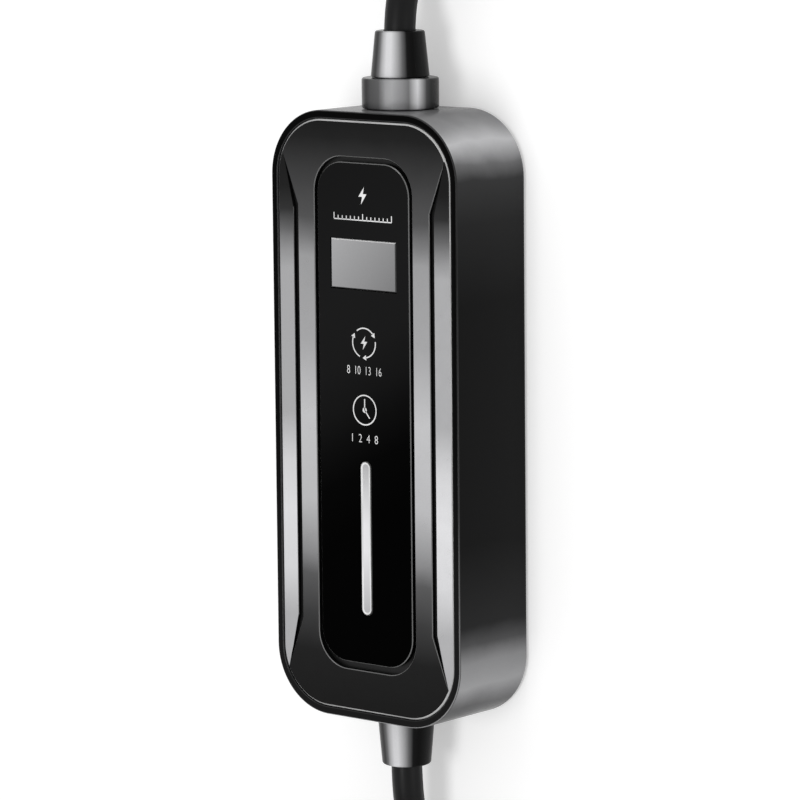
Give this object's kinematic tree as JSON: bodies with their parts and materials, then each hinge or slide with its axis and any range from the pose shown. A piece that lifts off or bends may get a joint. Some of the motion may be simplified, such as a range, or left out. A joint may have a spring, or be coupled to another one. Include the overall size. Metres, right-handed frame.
{
  "type": "ev charger",
  "caption": "Portable in-line electric vehicle charge box with a touch panel, display and light bar, a mains plug lead and a vehicle connector cable.",
  "frame": {"origin": "centre of the back face, on the surface that the box lies on", "axes": "+X to the box's right seen from the front, +Y along the box towards the mains end, +Z out of the front face"},
  "size_m": [0.111, 0.775, 0.1048],
  "materials": {
    "gloss_black": "moulded black plastic, high gloss",
    "gunmetal": "gunmetal metallic lacquer over moulded plastic, with silver side facets",
    "panel_gloss": "black printed clear panel, mirror gloss",
    "lens_grey": "clear lens over a blank grey display",
    "light_white": "white diffusing light guide",
    "seal_rubber": "soft seal rubber",
    "circuit_board": "green lacquered circuit board",
    "bright_metal": "bright sheet metal",
    "steel": "zinc plated steel",
    "component_black": "moulded component case",
    "component_amber": "lacquered capacitor case",
    "component_blue": "lacquered disc",
    "fuse_white": "ceramic fuse tube with end caps",
    "terminal_green": "moulded terminal block",
    "wire_brown": "wire insulation",
    "wire_blue": "wire insulation",
    "wire_green": "wire insulation",
    "wire_orange": "wire insulation",
    "gland_black": "moulded nylon",
    "sleeve_black": "moulded strain relief, satin gloss",
    "cable_black": "smooth cable jacket, satin",
    "tie_black": "woven hook and loop strap",
    "plug_black": "moulded plug body, satin"
  },
  "bodies": {
    "root": {"housing": "gloss_black", "front_cover": "gunmetal", "cover_seal": "seal_rubber", "touch_panel": "panel_gloss", "display_lens": "lens_grey", "light_bar": "light_white", "display_board": "circuit_board", "lcd_module": "bright_metal", "touch_spring_1": "steel", "touch_spring_2": "steel", "main_board": "circuit_board", "line_relay": "component_black", "neutral_relay": "component_black", "mains_transformer": "component_black", "filter_capacitor": "component_amber", "board_link": "component_black", "controller_chip": "component_black", "buzzer": "component_black", "bulk_capacitor_1": "bright_metal", "bulk_capacitor_2": "bright_metal", "surge_varistor": "component_blue", "fuse": "fuse_white", "leakage_sensor": "component_black", "input_terminals": "terminal_green", "output_terminals": "terminal_green", "supply_line_wire": "wire_brown", "supply_earth_wire": "wire_green", "supply_neutral_wire": "wire_blue", "vehicle_pilot_wire": "wire_orange", "vehicle_line_wire": "wire_brown", "vehicle_neutral_wire": "wire_blue", "vehicle_earth_wire": "wire_green", "cover_screw_1": "steel", "cover_screw_2": "steel", "cover_screw_3": "steel", "cover_screw_4": "steel", "supply_gland_body": "gland_black", "supply_gland_locknut": "gland_black", "supply_gland_seal": "seal_rubber", "supply_gland_nut": "gloss_black", "supply_gland_sleeve": "sleeve_black", "vehicle_gland_sleeve": "sleeve_black", "vehicle_gland_seal": "seal_rubber", "vehicle_gland_locknut": "gland_black", "supply_cable_end": "cable_black", "vehicle_cable_end": "cable_black", "supply_lead": "cable_black", "vehicle_lead": "cable_black", "supply_tail": "cable_black", "vehicle_tail": "cable_black", "supply_hank": "cable_black", "vehicle_hank": "cable_black", "supply_tie": "tie_black", "vehicle_tie": "tie_black", "plug_sleeve": "sleeve_black", "plug_body": "plug_black", "connector_nose": "plug_black", "connector_sleeve": "sleeve_black", "handle_left": "plug_black", "handle_right": "plug_black"}
  },
  "joints": []
}
